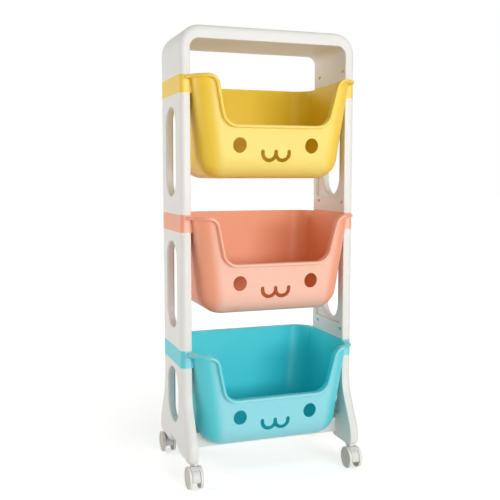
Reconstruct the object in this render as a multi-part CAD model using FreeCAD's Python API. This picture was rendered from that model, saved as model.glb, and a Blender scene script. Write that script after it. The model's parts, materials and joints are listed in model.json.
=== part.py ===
import FreeCAD, Part
import math
import os

os.makedirs("parts", exist_ok=True)
Vector = FreeCAD.Vector

# Frame sizes, in millimetres, with the floor at height 0 and the front towards minus Y
frame_width = 400.0
panel_depth = 168.0
panel_thickness = 23.0
panel_wall = 3.0
outer_edge_round = 12.0
inner_edge_round = 2.4
least_round = 0.8
outer_mouth_round = 5.0
inner_mouth_round = 4.0
tunnel_wall = 4.0
dish_depth = 6.0
dish_half_span = 68.0
dish_margin = 5.0
dish_corner = 8.0
overrun = 6.0
tolerance = 0.001
edge_samples = 7

# Heights of the tiers
tier_count = 3
tier_pitch = 290.0
collar_height = 37.5
arch_clear_height = 74.5
arch_thickness = 28.5
arch_inner_corner = 20.0
arch_outer_corner = 46.0

# Openings through the side panels
hole_half_span = 43.0
hole_corner = 41.0
hole_above_collar = 39.0
hole_below_collar = 24.0

# Base legs
foot_clearance = 2.9
foot_half_depth = 132.0
foot_corner = 16.0
flare_knee_rise = 127.5
flare_angle = math.radians(28.0)
flare_upper_radius = 110.0
flare_lower_radius = 60.0
underside_half_span = 42.0
underside_angle = math.radians(40.0)
underside_radius = 57.0
underside_shoulder = 15.0
leg_hole_half_span = 45.0
leg_hole_corner = 42.0
leg_hole_above_foot = 61.5
leg_hole_below_collar = 15.5

# Base cross panel
cross_half_depth = 51.0
cross_above_foot = 10.5
cross_thickness = 12.0
cross_end_rise = 34.0
cross_wall = 3.0
cross_edge_round = 2.0
cross_rib_pitch = 70.0
cross_rib_count = 5
cross_tongue_half_depth = 26.0
cross_tongue_rise = 20.0
cross_tongue_thickness = 10.0
cross_tongue_reach = 12.0
cross_fit = 0.3

# Bins
rim_half_depth = 132.0
rim_corner = 42.0
side_taper = 22.0
front_taper = 21.0
tub_forward = 2.0
floor_corner = 53.0
floor_round = 49.0
tub_height = 214.0
rim_drop = 3.0
tub_wall = 3.0
lip_reach = 12.0
lip_height = 7.0
lip_round = 3.3
scoop_depth = 103.0
scoop_inset = 65.0
scoop_angle = math.radians(12.5)
scoop_top_round = 24.0
scoop_bottom_round = 30.0

# Collar tongues and their snap buttons
tongue_fit = 0.25
tongue_wall = 2.5
tongue_up = 30.0
tongue_down = 7.0
collar_web = 3.0
snap_rise = 22.5
snap_front = -70.0
snap_back = 52.0
snap_half_length = 7.5
snap_half_height = 3.2
snap_fit = 0.3
snap_recess = 2.0

# Face cut through each bin's front
eye_spread = 81.0
eye_drop = 145.0
eye_half_width = 15.0
eye_half_height = 16.2
lobe_radius = 14.9
lobe_half_stroke = 4.15
lobe_drop = 161.0
lobe_end_rise = 3.3

# Casters
stem_inset = 15.5
stem_half_spread = 105.0
caster_trail = 16.0
wheel_radius = 23.8
wheel_width = 6.8
wheel_gap = 0.35
wheel_edge_round = 1.6
wheel_recess_radius = 18.0
wheel_recess = 0.6
wheel_bore_depth = 5.0
axle_radius = 2.5
axle_fit = 0.08
axle_end_gap = 0.4
yoke_width = 16.6
yoke_step = 0.6
yoke_low = 18.8
yoke_edge_round = 1.0
notch_start = 5.0
notch_floor = 33.0
notch_corner = 6.0
neck_radius = 4.8
pivot_radius = 3.0
pivot_fit = 0.08
pivot_depth = 17.0
shoulder_radius = 5.6
shoulder_height = 2.0
stem_radius = 4.0
stem_length = 34.0
stem_tip_bevel = 1.2
stem_fit = 0.1
socket_wall = 1.4
socket_flange_radius = 6.8
socket_flange = 1.5
socket_length = 36.0
socket_fit = 0.05
socket_boss_wall = 2.6

# Brake pedals on the front casters
pedal_lip_angle = math.radians(49.0)
pedal_back_angle = math.radians(76.0)
pedal_raise_angle = math.radians(6.0)
pedal_gap = 0.35
pedal_wall = 1.3
pedal_half_width = 9.8
pedal_arm_width = 3.4
pedal_arm_angle = math.radians(58.0)
pedal_pivot_radius = 19.0
pedal_pivot_angle = math.radians(84.0)
pedal_lug_radius = 2.8
pedal_pin_radius = 1.3
pedal_pin_fit = 0.08
pedal_slot_fit = 0.3
pedal_slot_depth_radius = 15.0
pedal_slot_front_angle = math.radians(2.5)
pedal_slot_back_angle = math.radians(9.5)
latch_half_width = 3.2
latch_top = 41.5
latch_bottom = 34.0
latch_relief = 0.6

# Places that follow from the sizes above
half_width = frame_width / 2
half_depth = panel_depth / 2
inner_face = half_width - panel_thickness
rim_half_width = inner_face
floor_half_width = rim_half_width - side_taper
floor_half_depth = rim_half_depth - front_taper
scoop_bottom_half_width = rim_half_width - scoop_inset
foot_height = 2 * wheel_radius + foot_clearance
cross_low = foot_height + cross_above_foot
cross_end_height = cross_low + cross_end_rise
cross_tongue_low = cross_low + cross_tongue_rise
cross_tongue_high = cross_tongue_low + cross_tongue_thickness
floor_height = cross_low + cross_thickness
lowest_rim_height = floor_height + tub_height
rim_heights = [lowest_rim_height + tier_pitch * tier for tier in range(tier_count)]
leg_top = lowest_rim_height - collar_height
leg_hole_low = foot_height + leg_hole_above_foot
leg_hole_high = leg_top - leg_hole_below_collar
stem_place = half_width - stem_inset
neck_top = foot_height - socket_flange - shoulder_height
yoke_radius = wheel_radius - yoke_step
yoke_half = yoke_width / 2
wheel_face = yoke_half + wheel_gap
snap_places = [snap_front, snap_back]


# Drawing helpers
def rounded_loop(corners, place):
    """Closed wire through (u, v, radius) corners, with each corner rounded to its own radius."""
    edges = []
    count = len(corners)
    joints = []
    for index in range(count):
        before = corners[index - 1]
        here = corners[index]
        after = corners[(index + 1) % count]
        back = Vector(before[0] - here[0], before[1] - here[1], 0).normalize()
        ahead = Vector(after[0] - here[0], after[1] - here[1], 0).normalize()
        half_angle = back.getAngle(ahead) / 2
        run = here[2] / math.tan(half_angle)
        middle = (back + ahead).normalize() * (here[2] / math.sin(half_angle) - here[2])
        spot = Vector(here[0], here[1], 0)
        joints.append((spot + back * run, spot + middle, spot + ahead * run, here[2]))
    for index in range(count):
        start, middle, end, radius = joints[index]
        if radius > 0:
            arc = Part.Arc(place(start.x, start.y), place(middle.x, middle.y), place(end.x, end.y))
            edges.append(arc.toShape())
        following = joints[(index + 1) % count][0]
        if (following - end).Length > tolerance:
            edges.append(Part.makeLine(place(end.x, end.y), place(following.x, following.y)))
    return Part.Wire(edges)


def prism(loop, reach):
    """Solid swept from a flat loop."""
    return Part.Face(loop).extrude(reach)


def edges_where(shape, test):
    """Edges whose sampled points all pass the test."""
    return [edge for edge in shape.Edges if all(test(point) for point in edge.discretize(edge_samples))]


def near(value, target):
    """Whether a coordinate sits on a plane."""
    return abs(value - target) < tolerance


def block(low, high):
    """Upright box between two opposite corners."""
    size = high - low
    return Part.makeBox(size.x, size.y, size.z, low)


def mirrored(shape):
    """The same piece on the other side of the middle plane."""
    return shape.mirror(Vector(0, 0, 0), Vector(1, 0, 0))


def save(name, shape):
    """Write one piece, cleaned of seams between flush faces."""
    shape.removeSplitter().exportStep("parts/" + name + ".step")


# Side panels
def frame_section(inset, height):
    """Plan outline of the right side of the frame, drawn in by inset."""
    outer = max(outer_edge_round - inset, least_round)
    inner = max(inner_edge_round - inset, least_round)
    left = inner_face + inset
    right = half_width - inset
    deep = half_depth - inset
    corners = [(left, -deep, inner), (right, -deep, outer), (right, deep, outer), (left, deep, inner)]
    return rounded_loop(corners, lambda u, v: Vector(u, v, height))


def side_opening(half_span, low, high, corner, grow, start, end):
    """Solid that fills a rounded opening running along X."""
    span = half_span + grow
    bottom = low - grow
    top = high + grow
    radius = corner + grow
    corners = [(-span, bottom, radius), (span, bottom, radius), (span, top, radius), (-span, top, radius)]
    loop = rounded_loop(corners, lambda u, v: Vector(start, u, v))
    return prism(loop, Vector(end - start, 0, 0))


def with_opening(shell, half_span, low, high, corner):
    """Give a hollow side a dished inner face and a walled opening with softly rounded mouths."""
    corner = min(corner, half_span, (high - low) / 2)
    start = inner_face - overrun
    floor = inner_face + dish_depth
    bottom = low - dish_margin
    top = high + dish_margin
    dish = side_opening(dish_half_span, bottom, top, dish_corner, 0, start, floor)
    back = side_opening(dish_half_span, bottom, top, dish_corner, panel_wall, inner_face, floor + panel_wall)
    tunnel = side_opening(half_span, low, high, corner, tunnel_wall, inner_face, half_width)
    way = side_opening(half_span, low, high, corner, 0, start, half_width + overrun)
    opened = shell.fuse([back, tunnel]).removeSplitter().cut([dish, way])

    def inside(point):
        return abs(point.y) < half_span + tolerance and low - tolerance < point.z < high + tolerance

    def on_outer_mouth(point):
        return near(point.x, half_width) and inside(point)

    def on_inner_mouth(point):
        return near(point.x, floor) and inside(point)

    opened = opened.makeFillet(outer_mouth_round, edges_where(opened, on_outer_mouth))
    return opened.makeFillet(inner_mouth_round, edges_where(opened, on_inner_mouth))


def snap_shape(y, height, shrink, start, end):
    """Rounded slot or button that runs through the frame's inner face."""
    long = snap_half_length - shrink
    tall = snap_half_height - shrink
    corners = [(y - long, height - tall, tall), (y + long, height - tall, tall)]
    corners += [(y + long, height + tall, tall), (y - long, height + tall, tall)]
    loop = rounded_loop(corners, lambda u, v: Vector(start, u, v))
    return prism(loop, Vector(end - start, 0, 0))


def with_snap_slots(shell, rim):
    """Cut the two snap slots above a bin's rim."""
    far = inner_face + panel_wall + tongue_fit
    slots = [snap_shape(y, rim + snap_rise, 0, inner_face - overrun, far) for y in snap_places]
    return shell.cut(slots)


def side_panel(low, high):
    """Right side panel: a hollow tube with a walled opening, open at both ends for the tongues."""
    length = high - low
    outside = prism(frame_section(0, low), Vector(0, 0, length))
    inside = prism(frame_section(panel_wall, low - overrun), Vector(0, 0, length + 2 * overrun))
    tube = outside.cut(inside)
    hole_low = low + hole_above_collar
    hole_high = high - hole_below_collar
    opened = with_opening(tube, hole_half_span, hole_low, hole_high, hole_corner)
    return with_snap_slots(opened, low)


# Top arch
def arch_solid(inset, low):
    """Inverted U with rounded long edges, drawn in by inset."""
    outer = half_width - inset
    inner = inner_face + inset
    under = rim_heights[-1] + arch_clear_height + inset
    over = rim_heights[-1] + arch_clear_height + arch_thickness - inset
    inside_corner = arch_inner_corner + inset
    outside_corner = arch_outer_corner - inset
    deep = half_depth - inset
    corners = [(-outer, low, 0), (-outer, over, outside_corner)]
    corners += [(outer, over, outside_corner), (outer, low, 0)]
    corners += [(inner, low, 0), (inner, under, inside_corner)]
    corners += [(-inner, under, inside_corner), (-inner, low, 0)]
    loop = rounded_loop(corners, lambda u, v: Vector(u, -deep, v))
    solid = prism(loop, Vector(0, 2 * deep, 0))

    def on_outside(point):
        beyond = abs(point.x) > inner + tolerance or point.z > under + tolerance
        return near(abs(point.y), deep) and beyond

    def on_inside(point):
        within = abs(point.x) < inner + tolerance and point.z < under + tolerance
        return near(abs(point.y), deep) and within

    solid = solid.makeFillet(max(outer_edge_round - inset, least_round), edges_where(solid, on_outside))
    return solid.makeFillet(max(inner_edge_round - inset, least_round), edges_where(solid, on_inside))


def top_arch():
    """Hollow arch that plugs onto the top bin's tongues."""
    low = rim_heights[-1]
    shell = arch_solid(0, low).cut(arch_solid(panel_wall, low - overrun))
    right = with_snap_slots(shell, low)
    return mirrored(with_snap_slots(mirrored(right), low))


# Base legs
def leg_loop(top, place):
    """Side outline of a leg: upright top, flared front and back, rounded feet, arched underside."""
    flare_drop = (foot_half_depth - half_depth) / math.tan(flare_angle)
    knee = foot_height + flare_knee_rise
    heel = knee - flare_drop
    crown = foot_height + underside_half_span * math.tan(underside_angle)
    front = [(-half_depth, top, 0), (-half_depth, knee, flare_upper_radius)]
    front += [(-foot_half_depth, heel, flare_lower_radius), (-foot_half_depth, foot_height, foot_corner)]
    front += [(-underside_half_span, foot_height, underside_shoulder)]
    back = [(-y, height, radius) for y, height, radius in reversed(front)]
    return rounded_loop(front + [(0, crown, underside_radius)] + back, place)


def leg_solid(inset, top):
    """Solid leg with rounded outer and inner edges, drawn in by inset."""
    left = inner_face + inset
    right = half_width - inset
    loop = leg_loop(top + inset, lambda u, v: Vector(left, u, v))
    if inset > 0:
        loop = loop.makeOffset2D(-inset)
    solid = prism(loop, Vector(right - left, 0, 0))

    def on_outer(point):
        return near(point.x, right)

    def on_inner(point):
        return near(point.x, left)

    def below_top(edges):
        return [edge for edge in edges if edge.BoundBox.ZMin < top - tolerance]

    outer_round = max(outer_edge_round - inset, least_round)
    inner_round = max(inner_edge_round - inset, least_round)
    solid = solid.makeFillet(outer_round, below_top(edges_where(solid, on_outer)))
    return solid.makeFillet(inner_round, below_top(edges_where(solid, on_inner)))


def base_leg():
    """Right leg: hollow, with a walled opening, caster sockets and a slot for the cross panel."""
    outside = leg_solid(0, leg_top)
    shell = outside.cut(leg_solid(panel_wall, leg_top + overrun))
    opened = with_opening(shell, leg_hole_half_span, leg_hole_low, leg_hole_high, leg_hole_corner)
    bore = stem_radius + stem_fit + socket_wall + socket_fit
    base = foot_height - overrun
    for y in [-stem_half_spread, stem_half_spread]:
        foot = Vector(stem_place, y, base)
        boss = Part.makeCylinder(bore + socket_boss_wall, socket_length + overrun, foot)
        way = Part.makeCylinder(bore, socket_length + 2 * overrun, foot)
        opened = opened.fuse(boss.common(outside)).cut(way)
    deep = cross_tongue_half_depth + cross_fit
    low = Vector(inner_face - overrun, -deep, cross_tongue_low - cross_fit)
    high = Vector(inner_face + panel_wall + cross_fit, deep, cross_tongue_high + cross_fit)
    return opened.cut(block(low, high))


# Base cross panel
def bin_front_prism(grow, half_length):
    """Solid with the front outline of the lowest bin, grown on every side."""
    side = floor_half_width + cross_fit + grow
    rim = rim_half_width + cross_fit + grow
    low = floor_height - grow
    corners = [(-side, low, floor_round + grow), (side, low, floor_round + grow)]
    corners += [(rim, lowest_rim_height, 0), (-rim, lowest_rim_height, 0)]
    loop = rounded_loop(corners, lambda u, v: Vector(u, -half_length, v))
    return prism(loop, Vector(0, 2 * half_length, 0))


def base_cross_panel():
    """Low stretcher under the bottom bin: ribbed below, with ends that rise beside the bin's floor."""
    low = Vector(-inner_face, -cross_half_depth, cross_low)
    body = block(low, Vector(inner_face, cross_half_depth, cross_end_height))
    body = body.cut(bin_front_prism(0, cross_half_depth + overrun))

    def on_lower_edge(point):
        return near(abs(point.y), cross_half_depth) and near(point.z, cross_low)

    body = body.makeFillet(cross_edge_round, edges_where(body, on_lower_edge))
    end = inner_face - cross_wall
    deep = cross_half_depth - cross_wall
    low = Vector(-end, -deep, cross_low - overrun)
    pocket = block(low, Vector(end, deep, cross_end_height - cross_wall))
    pocket = pocket.cut(bin_front_prism(cross_wall, cross_half_depth + overrun))
    for index in range(cross_rib_count):
        middle = (index - (cross_rib_count - 1) / 2) * cross_rib_pitch
        low = Vector(middle - cross_wall / 2, -cross_half_depth, cross_low)
        high = Vector(middle + cross_wall / 2, cross_half_depth, cross_end_height)
        pocket = pocket.cut(block(low, high))
    low = Vector(-inner_face - cross_tongue_reach, -cross_tongue_half_depth, cross_tongue_low)
    high = Vector(-inner_face, cross_tongue_half_depth, cross_tongue_high)
    tongue = block(low, high)
    return body.cut(pocket).fuse([tongue, mirrored(tongue)])


# Bins, drawn with the rim at height 0
def tub_loop(half_wide, half_deep, corner, height):
    """Rounded rectangle across the tub."""
    corners = [(-half_wide, -half_deep, corner), (half_wide, -half_deep, corner)]
    corners += [(half_wide, half_deep, corner), (-half_wide, half_deep, corner)]
    return rounded_loop(corners, lambda u, v: Vector(u, v - tub_forward, height))


def tub_taper(grow, floor_rise):
    """Tapered block with rounded upright corners; grow moves every wall outward."""
    top = tub_loop(rim_half_width + grow, rim_half_depth + grow, rim_corner + grow, -rim_drop)
    low = floor_rise - tub_height
    bottom = tub_loop(floor_half_width + grow, floor_half_depth + grow, floor_corner + grow, low)
    return Part.makeLoft([bottom, top], True, True)


def tub_solid(grow, floor_rise):
    """Tapered block with its floor edge rounded as well."""
    block_shape = tub_taper(grow, floor_rise)
    low = floor_rise - tub_height
    floor_edges = edges_where(block_shape, lambda point: near(point.z, low))
    return block_shape.makeFillet(floor_round + grow, floor_edges)


def scoop_line(drop):
    """Corners of the scooped front edge from left to right, set back into the wall by drop."""
    lean = math.tan(scoop_angle)
    slide = drop / math.cos(scoop_angle)
    brow = rim_drop + drop
    top = scoop_bottom_half_width + (scoop_depth - brow) * lean + slide
    bottom = scoop_bottom_half_width - drop * lean + slide
    left = [(-top, -brow, scoop_top_round - drop)]
    left += [(-bottom, -scoop_depth - drop, scoop_bottom_round + drop)]
    right = [(-x, height, radius) for x, height, radius in reversed(left)]
    return left + right


def front_prism(corners):
    """Solid swept from the middle of the bin out past its front."""
    reach = rim_half_depth + tub_forward + lip_reach + overrun
    loop = rounded_loop(corners, lambda u, v: Vector(u, -reach, v))
    return prism(loop, Vector(0, reach, 0))


def rolled_lip(inside):
    """Lip that follows the rim and dips along the scooped front, with rounded edges."""
    far = rim_half_width + lip_reach + overrun
    rear_reach = rim_half_depth + lip_reach + overrun
    under = -rim_drop - lip_height
    upper = [(-far, -rim_drop, 0)] + scoop_line(0) + [(far, -rim_drop, 0)]
    lower = [(-far, under, 0)] + scoop_line(lip_height) + [(far, under, 0)]
    rear = block(Vector(-far, 0, under), Vector(far, rear_reach, -rim_drop))
    skirt = tub_taper(lip_reach, 0)
    lip = skirt.cut(inside).common(front_prism(upper + lower[::-1]).fuse(rear)).removeSplitter()
    walls = [face for face in skirt.Faces if abs(face.normalAt(0, 0).z) < math.cos(scoop_angle)]
    skin = Part.Compound(walls)

    def on_skin(point):
        return skin.distToShape(Part.Vertex(point))[0] < tolerance

    def follows_rim(edge):
        points = edge.discretize(edge_samples)
        return not near(abs(points[0].z - points[-1].z), lip_height)

    return lip.makeFillet(lip_round, [edge for edge in edges_where(lip, on_skin) if follows_rim(edge)])


def collar():
    """Coloured collar on the right: flush with the panels, with tongues above and below."""
    outer = prism(frame_section(0, -collar_height), Vector(0, 0, collar_height))
    inset = panel_wall + tongue_fit
    length = collar_height + tongue_up + tongue_down
    tongue = prism(frame_section(inset, -collar_height - tongue_down), Vector(0, 0, length))
    low = Vector(floor_half_width, -half_depth + inner_edge_round, -collar_height)
    bridge = block(low, Vector(inner_face + panel_wall, half_depth - inner_edge_round, -rim_drop))
    solid = outer.fuse([tongue, bridge])
    middle = -collar_height / 2
    core = inset + tongue_wall
    upper = prism(frame_section(core, middle + collar_web / 2), Vector(0, 0, length))
    lower = prism(frame_section(core, middle - collar_web / 2), Vector(0, 0, -length))
    solid = solid.cut([upper, lower])
    start = inner_face + snap_recess
    end = inner_face + core
    buttons = [snap_shape(y, snap_rise, snap_fit, start, end) for y in snap_places]
    return solid.fuse(buttons)


def mouth_lobe(middle):
    """One upward-open curved slot of the mouth."""
    reach = rim_half_depth + tub_forward + overrun
    wide = lobe_radius + lobe_half_stroke
    narrow = lobe_radius - lobe_half_stroke
    rise = lobe_end_rise - lobe_drop

    def spot(x, height):
        return Vector(middle + x, -reach, height)

    def tip(side):
        return spot(side * lobe_radius, rise + lobe_half_stroke)

    bottom = -lobe_drop
    edges = [Part.Arc(spot(-wide, bottom), spot(0, bottom - wide), spot(wide, bottom)).toShape()]
    edges += [Part.makeLine(spot(wide, bottom), spot(wide, rise))]
    edges += [Part.Arc(spot(wide, rise), tip(1), spot(narrow, rise)).toShape()]
    edges += [Part.makeLine(spot(narrow, rise), spot(narrow, bottom))]
    edges += [Part.Arc(spot(narrow, bottom), spot(0, bottom - narrow), spot(-narrow, bottom)).toShape()]
    edges += [Part.makeLine(spot(-narrow, bottom), spot(-narrow, rise))]
    edges += [Part.Arc(spot(-narrow, rise), tip(-1), spot(-wide, rise)).toShape()]
    edges += [Part.makeLine(spot(-wide, rise), spot(-wide, bottom))]
    return prism(Part.Wire(edges), Vector(0, reach - floor_half_depth + floor_round, 0))


def eye(middle):
    """One oval eye hole."""
    reach = rim_half_depth + tub_forward + overrun
    centre = Vector(middle, -reach, -eye_drop)
    tall = centre + Vector(0, 0, eye_half_height)
    wide = centre + Vector(eye_half_width, 0, 0)
    loop = Part.Wire([Part.Ellipse(tall, wide, centre).toShape()])
    return prism(loop, Vector(0, reach - floor_half_depth + floor_round, 0))


def storage_bin():
    """One-piece bin: tapered tub, scooped and lipped front, cut-through face, collars on both ends."""
    inside = tub_solid(-tub_wall, tub_wall)
    far = rim_half_width + lip_reach + overrun
    edge = [(-far, -rim_drop, 0)] + scoop_line(0) + [(far, -rim_drop, 0)]
    scoop = front_prism([(-far, overrun, 0)] + edge + [(far, overrun, 0)])
    right = collar()
    body = tub_solid(0, 0).cut(scoop).fuse([rolled_lip(inside), right, mirrored(right)])
    face = [eye(-eye_spread), eye(eye_spread), mouth_lobe(-lobe_radius).fuse(mouth_lobe(lobe_radius))]
    return body.cut(inside).cut(face)


# Casters, drawn with the stem on the Z axis and the axle towards the front
def arc_point(radius, angle):
    """Point on a circle round the axle, measured up from the front."""
    return (-caster_trail - radius * math.cos(angle), wheel_radius + radius * math.sin(angle))


def ring_sector(inner, outer, start, end, half_span):
    """Curved plate round the axle between two angles."""
    def spot(radius, angle):
        y, height = arc_point(radius, angle)
        return Vector(-half_span, y, height)

    middle = (start + end) / 2
    edges = [Part.Arc(spot(outer, start), spot(outer, middle), spot(outer, end)).toShape()]
    edges += [Part.makeLine(spot(outer, end), spot(inner, end))]
    edges += [Part.Arc(spot(inner, end), spot(inner, middle), spot(inner, start)).toShape()]
    edges += [Part.makeLine(spot(inner, start), spot(outer, start))]
    return prism(Part.Wire(edges), Vector(2 * half_span, 0, 0))


def cross_rod(radius, half_span, y, height):
    """Round bar along X."""
    return Part.makeCylinder(radius, 2 * half_span, Vector(-half_span, y, height), Vector(1, 0, 0))


def latch_mark():
    """Small pointed relief on the front of the yoke, with its tip down."""
    front = -caster_trail - yoke_radius - latch_relief
    top = Vector(latch_half_width, front, latch_top)
    points = [top, Vector(-latch_half_width, front, latch_top), Vector(0, front, latch_bottom), top]
    wedge = prism(Part.makePolygon(points), Vector(0, yoke_radius, 0))
    return wedge.common(cross_rod(yoke_radius + latch_relief, yoke_half, -caster_trail, wheel_radius))


def yoke(braked):
    """Caster body: a drum between the wheels, cut flat below and notched behind for the stem's neck."""
    drum = cross_rod(yoke_radius, yoke_half, -caster_trail, wheel_radius)
    far = caster_trail + yoke_radius + overrun
    drum = drum.cut(block(Vector(-far, -far, -overrun), Vector(far, far, yoke_low)))
    edge = notch_start - caster_trail
    above = wheel_radius + far
    corners = [(edge, notch_floor, notch_corner), (far, notch_floor, 0)]
    corners += [(far, above, 0), (edge, above, 0)]
    loop = rounded_loop(corners, lambda u, v: Vector(-far, u, v))
    drum = drum.cut(prism(loop, Vector(2 * far, 0, 0)))
    drum = drum.makeFillet(yoke_edge_round, edges_where(drum, on_drum_side))
    neck = Part.makeCylinder(neck_radius, neck_top - wheel_radius, Vector(0, 0, wheel_radius))
    body = drum.fuse([neck, latch_mark()])
    bottom = Vector(0, 0, neck_top - pivot_depth)
    bore = Part.makeCylinder(pivot_radius + pivot_fit, pivot_depth + overrun, bottom)
    way = cross_rod(axle_radius + axle_fit, yoke_width, -caster_trail, wheel_radius)
    body = body.cut([bore, way])
    if braked:
        slot_half = pedal_arm_width / 2 + pedal_slot_fit
        start = pedal_arm_angle - pedal_slot_front_angle
        end = pedal_pivot_angle + pedal_slot_back_angle
        slot = ring_sector(pedal_slot_depth_radius, yoke_radius + overrun, start, end, slot_half)
        y, height = arc_point(pedal_pivot_radius, pedal_pivot_angle)
        room = cross_rod(pedal_lug_radius + pedal_slot_fit, slot_half, y, height)
        pin_way = cross_rod(pedal_pin_radius + pedal_pin_fit, yoke_width, y, height)
        body = body.cut([slot, room, pin_way])
    return body


def on_drum_side(point):
    """Whether a point lies on either flat side of a yoke's drum, clear of the floor and the notch."""
    radius = math.hypot(point.y + caster_trail, point.z - wheel_radius)
    return near(abs(point.x), yoke_half) and near(radius, yoke_radius)


def axle():
    """Rod that carries both wheels of a caster."""
    half_span = wheel_face + wheel_bore_depth - axle_end_gap
    return cross_rod(axle_radius, half_span, -caster_trail, wheel_radius)


def wheel():
    """Right wheel of a caster: a smooth tread, a shallow dished face and a blind bore."""
    inner = wheel_face
    outer = inner + wheel_width
    bore = axle_radius + axle_fit
    dish = wheel_recess_radius - wheel_recess
    corners = [(inner, bore, 0), (inner, wheel_radius, wheel_edge_round)]
    corners += [(outer, wheel_radius, wheel_edge_round), (outer, wheel_recess_radius, 0)]
    corners += [(outer - wheel_recess, dish, 0), (outer - wheel_recess, 0, 0)]
    corners += [(inner + wheel_bore_depth, 0, 0), (inner + wheel_bore_depth, bore, 0)]
    loop = rounded_loop(corners, lambda u, v: Vector(u, -caster_trail, wheel_radius + v))
    return Part.Face(loop).revolve(Vector(0, -caster_trail, wheel_radius), Vector(1, 0, 0))


def turned(profile):
    """Solid of revolution round the stem's axis from (radius, height) corners."""
    points = [Vector(radius, 0, height) for radius, height in profile]
    return Part.Face(Part.makePolygon(points + points[:1])).revolve(Vector(0, 0, 0), Vector(0, 0, 1))


def stem():
    """Steel stem: a pivot in the yoke, a shoulder and a pin in the foot's socket."""
    shoulder_top = neck_top + shoulder_height
    tip = shoulder_top + stem_length
    profile = [(0, neck_top - pivot_depth + stem_fit), (pivot_radius, neck_top - pivot_depth + stem_fit)]
    profile += [(pivot_radius, neck_top), (shoulder_radius, neck_top), (shoulder_radius, shoulder_top)]
    profile += [(stem_radius, shoulder_top), (stem_radius, tip - stem_tip_bevel)]
    profile += [(stem_radius - stem_tip_bevel, tip), (0, tip)]
    return turned(profile)


def stem_socket():
    """Flanged sleeve pressed up into a foot."""
    inner = stem_radius + stem_fit
    outer = inner + socket_wall
    flange = foot_height - socket_flange
    top = foot_height + socket_length
    profile = [(inner, flange), (socket_flange_radius, flange), (socket_flange_radius, foot_height)]
    profile += [(outer, foot_height), (outer, top), (inner, top)]
    return turned(profile)


def brake_pedal():
    """Curved flap over the front of both wheels, on an arm in a slot of the yoke, shown raised."""
    inner = wheel_radius + pedal_gap
    outer = inner + pedal_wall
    flap = ring_sector(inner, outer, pedal_lip_angle, pedal_back_angle, pedal_half_width)
    y, height = arc_point(pedal_pivot_radius, pedal_pivot_angle)
    half_arm = pedal_arm_width / 2
    lug = cross_rod(pedal_lug_radius, half_arm, y, height)
    root = pedal_pivot_radius - pedal_lug_radius
    arm = ring_sector(root, outer, pedal_arm_angle, pedal_back_angle, half_arm)
    tail = ring_sector(root, pedal_pivot_radius, pedal_arm_angle, pedal_pivot_angle, half_arm)
    body = flap.fuse([arm, tail, lug])
    body = body.cut(cross_rod(pedal_pin_radius + pedal_pin_fit, yoke_width, y, height))
    return body.rotated(Vector(0, y, height), Vector(-1, 0, 0), math.degrees(pedal_raise_angle))


def pedal_pin():
    """Pin that the brake pedal turns on."""
    y, height = arc_point(pedal_pivot_radius, pedal_pivot_angle)
    return cross_rod(pedal_pin_radius, yoke_half, y, height)


# Frame and bins in place
tier_names = ["bottom", "middle", "top"]
storage = storage_bin()
for name, rim in zip(tier_names, rim_heights):
    save("bin_" + name, storage.translated(Vector(0, 0, rim)))

for name, low in zip(["middle", "upper"], rim_heights):
    panel = side_panel(low, low + tier_pitch - collar_height)
    save(name + "_panel_right", panel)
    save(name + "_panel_left", mirrored(panel))

leg = base_leg()
save("base_leg_right", leg)
save("base_leg_left", mirrored(leg))
save("base_cross_panel", base_cross_panel())
save("top_arch", top_arch())

# Casters in place
for end in ["front", "rear"]:
    braked = end == "front"
    right_wheel = wheel()
    pieces = {"yoke": yoke(braked), "axle": axle(), "stem": stem(), "socket": stem_socket()}
    pieces["wheel_right"] = right_wheel
    pieces["wheel_left"] = mirrored(right_wheel)
    if braked:
        pieces["pedal"] = brake_pedal()
        pieces["pedal_pin"] = pedal_pin()
    for side, place in [("left", -stem_place), ("right", stem_place)]:
        for piece, shape in pieces.items():
            turned_shape = shape if braked else shape.mirror(Vector(0, 0, 0), Vector(0, 1, 0))
            spread = -stem_half_spread if braked else stem_half_spread
            name = "_".join(["caster", end, side, piece])
            save(name, turned_shape.translated(Vector(place, spread, 0)))
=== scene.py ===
# %% [markdown]
# A rolling rack of three storage bins: white hollow side panels and a carrying arch, scooped bins in
# yellow, salmon pink and aqua, and small swivel casters. The solids come ready made from the construction
# model, in metres, standing on the floor with the scooped fronts towards minus Y. This lesson gives them
# their finishes, then lights and frames them the way a catalogue picture would.

# %% Load the frame and measure it
import bpy
import json
import math
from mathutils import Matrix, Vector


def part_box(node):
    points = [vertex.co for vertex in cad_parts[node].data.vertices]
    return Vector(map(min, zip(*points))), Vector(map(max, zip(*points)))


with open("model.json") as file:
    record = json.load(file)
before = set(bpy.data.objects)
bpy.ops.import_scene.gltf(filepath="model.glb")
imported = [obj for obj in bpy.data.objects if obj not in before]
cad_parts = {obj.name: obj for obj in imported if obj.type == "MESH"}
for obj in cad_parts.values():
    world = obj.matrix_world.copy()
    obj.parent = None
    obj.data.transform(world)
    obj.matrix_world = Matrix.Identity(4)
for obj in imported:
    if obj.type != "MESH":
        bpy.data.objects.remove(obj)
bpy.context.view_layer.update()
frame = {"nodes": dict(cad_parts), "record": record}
nodes = frame["nodes"]
scene = bpy.context.scene
scene.view_settings.view_transform = "Standard"

# %% [markdown]
# The camera. The picture was taken from the front and a little to the left, about two thirds of the way up
# the rack, with a moderate lens. A camera is placed with a location, a tilt down from level and a turn to
# the right. The numbers were found by lining up the corners of the panels and the rims of the bins.

# %% Camera
camera_place = (-0.5944, -1.6472, 0.658)
camera_tilt_down = math.radians(5.484)
camera_turn_right = math.radians(19.32)
camera_lens = 55.48
sensor_width = 36.0

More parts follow.
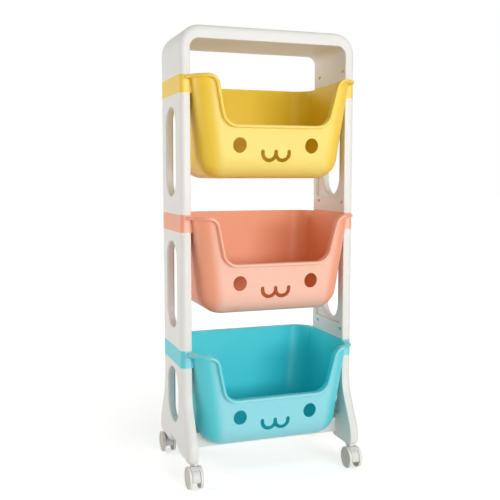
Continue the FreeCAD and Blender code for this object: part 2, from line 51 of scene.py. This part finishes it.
camera_data = bpy.data.cameras.new("photo_camera")
camera_data.lens = camera_lens
camera_data.sensor_width = sensor_width
camera = bpy.data.objects.new("photo_camera", camera_data)
camera.location = camera_place
camera.rotation_euler = (math.pi / 2 - camera_tilt_down, 0, -camera_turn_right)
scene.collection.objects.link(camera)
scene.camera = camera
print("camera at", camera_place)

# %% [markdown]
# The floor and the white surround. A catalogue picture stands on white that runs out to nothing. Lighting
# the floor until it clips would also bleach the rack, so instead the surround shows itself as white only to
# the camera and to reflections, with the Light Path node, and stays an ordinary pale floor for the light
# that falls on it. Far off the floor glows enough to run out to white. Close to the rack it glows less, so
# its own shading still counts there and the wheels keep a soft shadow.

# %% Floor and surround
floor_size = 40.0
floor_shade = (0.90, 0.90, 0.89, 1)
floor_rough = 0.9
glow_near, glow_far = 0.52, 0.75
shadow_reach, white_reach = 0.35, 1.6
surround_light, surround_white = 0.32, 1.0


def link(tree, start, end):
    """Join two sockets of a node tree."""
    tree.links.new(start, end)


def seen_directly(tree):
    """Value that is one for camera, glossy and transmission rays, and zero for light that only bounces."""
    path = tree.nodes.new("ShaderNodeLightPath")
    first = tree.nodes.new("ShaderNodeMath")
    first.operation = "MAXIMUM"
    both = tree.nodes.new("ShaderNodeMath")
    both.operation = "MAXIMUM"
    link(tree, path.outputs["Is Camera Ray"], first.inputs[0])
    link(tree, path.outputs["Is Glossy Ray"], first.inputs[1])
    link(tree, first.outputs[0], both.inputs[0])
    link(tree, path.outputs["Is Transmission Ray"], both.inputs[1])
    return both.outputs[0]


def glow_level(tree):
    """Glow that grows with the distance from the rack."""
    distance = tree.nodes.new("ShaderNodeVectorMath")
    distance.operation = "LENGTH"
    link(tree, tree.nodes.new("ShaderNodeTexCoord").outputs["Object"], distance.inputs[0])
    level = tree.nodes.new("ShaderNodeMapRange")
    level.inputs["From Min"].default_value = shadow_reach
    level.inputs["From Max"].default_value = white_reach
    level.inputs["To Min"].default_value = glow_near
    level.inputs["To Max"].default_value = glow_far
    link(tree, distance.outputs["Value"], level.inputs["Value"])
    return level.outputs["Result"]


def floor_finish():
    """Pale floor that reads as white to the eye and keeps a soft shadow near the rack."""
    material = bpy.data.materials.new("pale_floor")
    material.use_nodes = True
    tree = material.node_tree
    shader = tree.nodes["Principled BSDF"]
    shader.inputs["Base Color"].default_value = floor_shade
    shader.inputs["Roughness"].default_value = floor_rough
    shader.inputs["Specular IOR Level"].default_value = 0.0
    shader.inputs["Emission Color"].default_value = (1, 1, 1, 1)
    glow = tree.nodes.new("ShaderNodeMath")
    glow.operation = "MULTIPLY"
    link(tree, seen_directly(tree), glow.inputs[0])
    link(tree, glow_level(tree), glow.inputs[1])
    link(tree, glow.outputs[0], shader.inputs["Emission Strength"])
    return material


bpy.ops.object.select_all(action="DESELECT")
bpy.ops.mesh.primitive_plane_add(size=floor_size, location=(0, 0, 0))
floor = bpy.context.object
floor.name = "studio_floor"
floor.data.materials.append(floor_finish())

world = bpy.data.worlds.new("white_surround")
scene.world = world
world.use_nodes = True
world_tree = world.node_tree
background = world_tree.nodes["Background"]
background.inputs["Color"].default_value = (1, 1, 1, 1)
brightness = world_tree.nodes.new("ShaderNodeMapRange")
brightness.inputs["To Min"].default_value = surround_light
brightness.inputs["To Max"].default_value = surround_white
link(world_tree, seen_directly(world_tree), brightness.inputs["Value"])
link(world_tree, brightness.outputs["Result"], background.inputs["Strength"])
print("floor and surround ready")

# %% [markdown]
# The lamps. In the picture the fronts are bright and pale, the left side of the frame is a step darker and a
# little warmer, and the rounded edge between them is darker than both. That tells where the light is: a wide,
# low soft box almost straight in front, a large warm one out to the left and behind, nothing much in between,
# and a weak one high up for the rims and the top of the arch.

# %% Lamps
aim_height = 0.5
plain = (1.0, 1.0, 1.0)
warm = (1.0, 0.97, 0.925)
lamp_plans = {
    "key_box": {"turn": 6, "away": 2.6, "height": 0.78, "size": (1.6, 0.5), "power": 34, "tint": plain},
    "side_box": {"turn": -122, "away": 2.6, "height": 0.8, "size": (1.6, 1.6), "power": 25, "tint": warm},
    "top_box": {"turn": 40, "away": 1.4, "height": 2.2, "size": (1.6, 1.2), "power": 6, "tint": plain},
}


def soft_box(name, turn, away, height, size, power, tint):
    """Rectangular lamp at a compass turn from the front, looking at the middle of the rack."""
    lamp = bpy.data.lights.new(name, "AREA")
    lamp.shape = "RECTANGLE"
    lamp.size, lamp.size_y = size
    lamp.energy = power
    lamp.color = tint
    piece = bpy.data.objects.new(name, lamp)
    angle = math.radians(turn)
    piece.location = (away * math.sin(angle), -away * math.cos(angle), height)
    drop = math.atan2(away, height - aim_height)
    piece.rotation_euler = (drop, 0, angle)
    scene.collection.objects.link(piece)


for lamp_name, plan in lamp_plans.items():
    soft_box(lamp_name, **plan)
print("lamps:", ", ".join(lamp_plans))

# %% [markdown]
# Moulded plastic is never quite even. The steel mould leaves a fine grain, the melt freezes in slow waves,
# and handling polishes some places more than others. Every finish on the rack shares these, so they are
# built once as a node group: a height for a Bump node, a roughness, and a slow mask for shifting the colour.
# It reads Object coordinates, so it stays with each piece and keeps its scale in metres.

# %% Moulded surface group
grain_scale, grain_detail = 900.0, 2.0
wave_scale, wave_detail, wave_height = 22.0, 1.0, 4.0
polish_scale, polish_detail, polish_swing = 14.0, 4.0, 0.1
flow_scale, flow_detail = 6.0, 3.0
noise_middle = 0.5
usual_rough = 0.45


def new_group(name, inputs, outputs):
    """Empty shader node group: a number makes a float input, a tuple a vector input, outputs are floats."""
    group = bpy.data.node_groups.new(name, "ShaderNodeTree")
    for title, value in inputs.items():
        kind = "NodeSocketVector" if isinstance(value, tuple) else "NodeSocketFloat"
        socket = group.interface.new_socket(title, in_out="INPUT", socket_type=kind)
        socket.default_value = value
    for title in outputs:
        group.interface.new_socket(title, in_out="OUTPUT", socket_type="NodeSocketFloat")
    start = group.nodes.new("NodeGroupInput")
    end = group.nodes.new("NodeGroupOutput")
    return group, start, end


def noise(tree, coordinates, scale, detail):
    """Noise texture on given coordinates."""
    texture = tree.nodes.new("ShaderNodeTexNoise")
    texture.inputs["Scale"].default_value = scale
    texture.inputs["Detail"].default_value = detail
    link(tree, coordinates, texture.inputs["Vector"])
    return texture.outputs["Fac"]


def math_node(tree, operation, first, second):
    """Math node whose inputs are sockets or plain numbers."""
    node = tree.nodes.new("ShaderNodeMath")
    node.operation = operation
    for slot, value in enumerate((first, second)):
        if isinstance(value, (int, float)):
            node.inputs[slot].default_value = value
        else:
            link(tree, value, node.inputs[slot])
    return node.outputs[0]


def moulded_surface_group():
    """Grain height, roughness and a slow colour mask for moulded plastic."""
    inputs = {"Roughness Middle": usual_rough}
    group, start, end = new_group("moulded_surface", inputs, ["Height", "Roughness", "Flow"])
    coordinates = group.nodes.new("ShaderNodeTexCoord").outputs["Object"]
    grain = noise(group, coordinates, grain_scale, grain_detail)
    waves = noise(group, coordinates, wave_scale, wave_detail)
    height = math_node(group, "ADD", grain, math_node(group, "MULTIPLY", waves, wave_height))
    link(group, height, end.inputs["Height"])
    polish = noise(group, coordinates, polish_scale, polish_detail)
    swing = math_node(group, "MULTIPLY", math_node(group, "SUBTRACT", polish, noise_middle), polish_swing)
    rough = math_node(group, "ADD", swing, start.outputs["Roughness Middle"])
    link(group, rough, end.inputs["Roughness"])
    link(group, noise(group, coordinates, flow_scale, flow_detail), end.inputs["Flow"])
    return group


moulded_surface = moulded_surface_group()
print("group", moulded_surface.name, "gives", [s.name for s in moulded_surface.interface.items_tree])

# %% [markdown]
# Telling the sides of a piece apart. In the picture the fronts of the bins carry a pale bloom, while the
# flanks and the inside read deeper and richer, where the light falls off to the sides and the tub lies in
# shade and fills with coloured bounce light. Here those deeper tones are painted: painted shade on the
# flanks, painted shade and bounce light inside. The wheels have pale treads between darker discs. Each of
# these is one closed mesh with one slot, but its normals tell the sides apart. A surface of the inside faces
# towards the middle of the bin and one of the outside faces away, so the dot product of the normal and the
# way from the middle has a different sign on each. A flank or a disc faces left or right, so there the
# sideways part of the normal is large.

# %% Groups that tell the sides apart
inside_softness = 0.015
flank_starts = 0.05
flank_full = 0.55


def inside_mask_group():
    """Mask for surfaces that face the middle of a bin."""
    group, start, end = new_group("inside_mask", {"Middle": (0.0, 0.0, 0.0)}, ["Inside"])
    place = group.nodes.new("ShaderNodeTexCoord")
    way = group.nodes.new("ShaderNodeVectorMath")
    way.operation = "SUBTRACT"
    link(group, place.outputs["Object"], way.inputs[0])
    link(group, start.outputs["Middle"], way.inputs[1])
    facing = group.nodes.new("ShaderNodeVectorMath")
    facing.operation = "DOT_PRODUCT"
    link(group, way.outputs["Vector"], facing.inputs[0])
    link(group, place.outputs["Normal"], facing.inputs[1])
    mask = group.nodes.new("ShaderNodeMapRange")
    mask.inputs["From Min"].default_value = inside_softness
    mask.inputs["From Max"].default_value = -inside_softness
    link(group, facing.outputs["Value"], mask.inputs["Value"])
    link(group, mask.outputs["Result"], end.inputs["Inside"])
    return group


def flank_mask_group():
    """Mask for surfaces that face left or right."""
    group, _, end = new_group("flank_mask", {}, ["Flank"])
    place = group.nodes.new("ShaderNodeTexCoord")
    parts = group.nodes.new("ShaderNodeSeparateXYZ")
    link(group, place.outputs["Normal"], parts.inputs["Vector"])
    mask = group.nodes.new("ShaderNodeMapRange")
    mask.interpolation_type = "SMOOTHSTEP"
    mask.inputs["From Min"].default_value = flank_starts
    mask.inputs["From Max"].default_value = flank_full
    link(group, math_node(group, "ABSOLUTE", parts.outputs["X"], 0.0), mask.inputs["Value"])
    link(group, mask.outputs["Result"], end.inputs["Flank"])
    return group


# The masks place the painted shade on the bins, and the darker side faces on the wheels.
inside_mask = inside_mask_group()
flank_mask = flank_mask_group()
print("groups", inside_mask.name, "and", flank_mask.name)

# %% [markdown]
# The plastics. All the visible parts are injection moulded: the frame in warm white, the bins in clear pastel
# colours with a soft sheen. One function makes them all, from a main colour and a slightly deeper one that
# the slow mask blends in, so no surface is a single flat colour. A second function lays another tone over a
# finish where a mask is one: painted shade on the flanks and the inside of a bin, and the darker discs of a
# wheel.

# %% Plastic finishes
plastic_plans = {
    "frame_plastic": {"pale": (0.85, 0.838, 0.80), "deep": (0.82, 0.805, 0.765), "rough": usual_rough},
    "yellow_plastic": {"pale": (0.95, 0.74, 0.18), "deep": (0.93, 0.70, 0.15), "rough": usual_rough},
    "pink_plastic": {"pale": (0.95, 0.56, 0.43), "deep": (0.93, 0.52, 0.39), "rough": usual_rough},
    "blue_plastic": {"pale": (0.31, 0.76, 0.83), "deep": (0.28, 0.72, 0.80), "rough": usual_rough},
    "caster_plastic": {"pale": (0.83, 0.82, 0.80), "deep": (0.79, 0.78, 0.75), "rough": usual_rough},
    "wheel_plastic": {"pale": (0.90, 0.885, 0.85), "deep": (0.87, 0.85, 0.81), "rough": 0.52},
    "socket_plastic": {"pale": (0.70, 0.70, 0.68), "deep": (0.64, 0.64, 0.62), "rough": 0.55},
}
# Painted shade for each bin: a deeper tone on the flanks for the light falling off to the sides, and a
# deeper, richer one inside for the shade and coloured bounce light in the tub.
bin_painted_shades = {
    "yellow_plastic": {"node": "bin_top", "inside": (0.97, 0.675, 0.0205), "flank": (0.95, 0.635, 0.051)},
    "pink_plastic": {"node": "bin_middle", "inside": (0.965, 0.40, 0.22), "flank": (0.945, 0.37, 0.215)},
    "blue_plastic": {"node": "bin_bottom", "inside": (0.0305, 0.735, 0.835), "flank": (0.102, 0.675, 0.745)},
}
disc_tone = (0.64, 0.605, 0.54)
tone_swing = 0.96
bump_distance = 0.0004
bump_strength = 0.12
sheen_level = 0.5


def blend(tree, first, second, factor):
    """Mix two colours, each a socket or a plain colour, by a factor socket."""
    mix = tree.nodes.new("ShaderNodeMix")
    mix.data_type = "RGBA"
    for slot, colour in (("A", first), ("B", second)):
        if isinstance(colour, tuple):
            mix.inputs[slot].default_value = (*colour, 1)
        else:
            link(tree, colour, mix.inputs[slot])
    link(tree, factor, mix.inputs["Factor"])
    return mix.outputs["Result"]


def group_node(tree, group):
    """Node that uses a group, under the group's name."""
    node = tree.nodes.new("ShaderNodeGroup")
    node.node_tree = group
    node.name = group.name
    return node


def plastic_finish(name, pale, deep, rough):
    """Moulded plastic in two close tones with a grain."""
    material = bpy.data.materials.new(name + "_finish")
    material.use_nodes = True
    tree = material.node_tree
    shader = tree.nodes["Principled BSDF"]
    shader.inputs["Specular IOR Level"].default_value = sheen_level
    surface = group_node(tree, moulded_surface)
    surface.inputs["Roughness Middle"].default_value = rough
    link(tree, blend(tree, pale, deep, surface.outputs["Flow"]), shader.inputs["Base Color"])
    link(tree, surface.outputs["Roughness"], shader.inputs["Roughness"])
    bump = tree.nodes.new("ShaderNodeBump")
    bump.inputs["Strength"].default_value = bump_strength
    bump.inputs["Distance"].default_value = bump_distance
    link(tree, surface.outputs["Height"], bump.inputs["Height"])
    link(tree, bump.outputs["Normal"], shader.inputs["Normal"])
    return material


def lay_tone(material, mask, tone):
    """Lay a tone, and a slightly deeper one in slow patches, over a finish where a mask is one."""
    tree = material.node_tree
    base = tree.nodes["Principled BSDF"].inputs["Base Color"]
    flow = tree.nodes[moulded_surface.name].outputs["Flow"]
    deeper = tuple(tone_swing * part for part in tone)
    both = blend(tree, tone, deeper, flow)
    link(tree, blend(tree, base.links[0].from_socket, both, mask), base)


def paint_bin_shade(material, node, inside, flank):
    """Paint deeper tones of shade on the flanks and the interior of a bin."""
    tree = material.node_tree
    # Painted shade: a deeper tone on the flanks, then a deeper one on the inside of the tub.
    lay_tone(material, group_node(tree, flank_mask).outputs["Flank"], flank)
    inner = group_node(tree, inside_mask)
    low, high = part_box(node)
    inner.inputs["Middle"].default_value = [(a + b) / 2 for a, b in zip(low, high)]
    lay_tone(material, inner.outputs["Inside"], inside)


finishes = {name: plastic_finish(name, **plan) for name, plan in plastic_plans.items()}
# Paint the shade tones onto each bin's finish.
for name, plan in bin_painted_shades.items():
    paint_bin_shade(finishes[name], **plan)
wheel_finish = finishes["wheel_plastic"]
lay_tone(wheel_finish, group_node(wheel_finish.node_tree, flank_mask).outputs["Flank"], disc_tone)
print("plastics:", ", ".join(finishes))

# %% [markdown]
# The steel of the stems, axles and pins is cut from bar and plated. Plating is never quite even, which shows
# as a fine speckle in the roughness and slow patches in the tone.

# %% Steel finish
steel_pale = (0.66, 0.67, 0.69)
steel_deep = (0.56, 0.57, 0.58)
patch_scale, patch_detail = 120.0, 3.0
speckle_scale, speckle_detail, speckle_swing = 1800.0, 2.0, 0.2
steel_rough = 0.2


def steel_finish():
    """Plated steel with a fine speckle."""
    material = bpy.data.materials.new("steel_finish")
    material.use_nodes = True
    tree = material.node_tree
    shader = tree.nodes["Principled BSDF"]
    shader.inputs["Metallic"].default_value = 1.0
    coordinates = tree.nodes.new("ShaderNodeTexCoord").outputs["Object"]
    speckle = noise(tree, coordinates, speckle_scale, speckle_detail)
    rough = math_node(tree, "ADD", math_node(tree, "MULTIPLY", speckle, speckle_swing), steel_rough)
    link(tree, rough, shader.inputs["Roughness"])
    patches = noise(tree, coordinates, patch_scale, patch_detail)
    link(tree, blend(tree, steel_pale, steel_deep, patches), shader.inputs["Base Color"])
    return material


finishes["steel"] = steel_finish()
print("finishes:", len(finishes))

# %% [markdown]
# Each node of the rack names a material slot in its record. Going through the record gives every node the
# finish for its slot, and no node is moved or reshaped.

# %% Dress the nodes
for part in frame["record"]["subparts"]:
    piece = nodes[part["node"]]
    piece.data.materials.clear()
    piece.data.materials.append(finishes[part["material_slot"]])
print("dressed", len(nodes), "nodes")
